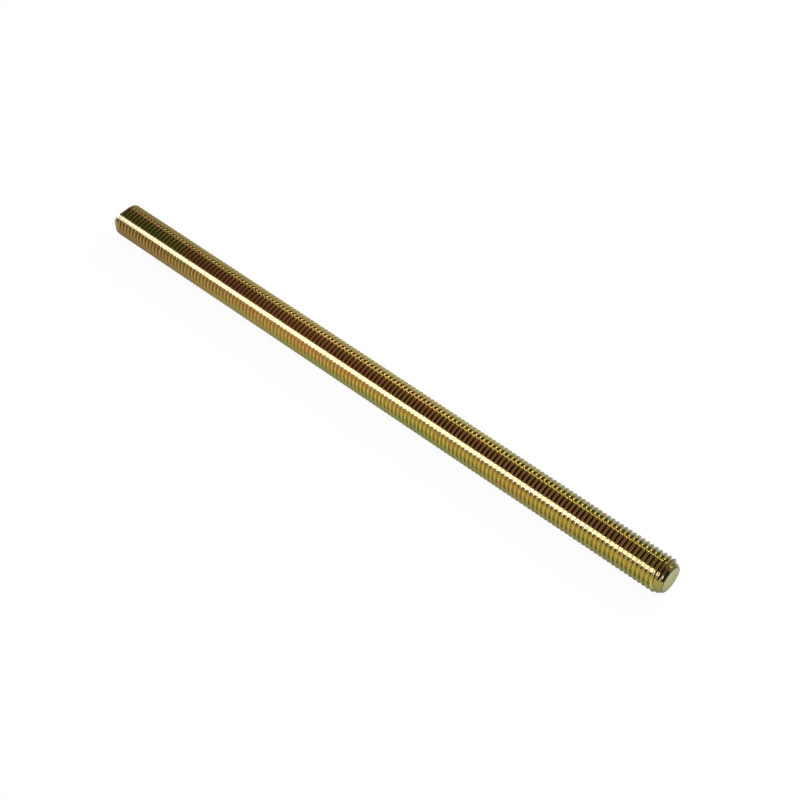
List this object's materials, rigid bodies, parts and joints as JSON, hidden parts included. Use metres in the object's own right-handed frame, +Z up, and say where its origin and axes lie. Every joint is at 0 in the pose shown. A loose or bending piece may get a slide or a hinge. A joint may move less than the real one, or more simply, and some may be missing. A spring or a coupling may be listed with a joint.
{
  "type": "threaded rod",
  "caption": "Fully threaded round rod with a right-hand thread, chamfered square at one end and cut on a slant at the other, for nuts or tapped holes.",
  "frame": {"origin": "on the rod's axis, halfway between its ends", "axes": "+X along the rod towards the square chamfered end, +Z up, with the slanted cut at the -X end facing up and out"},
  "size_m": [0.381, 0.019, 0.019],
  "materials": {
    "plated_steel": "zinc plated with a golden, iridescent yellow passivation, bright"
  },
  "bodies": {
    "root": {"threaded_rod": "plated_steel"}
  },
  "joints": []
}
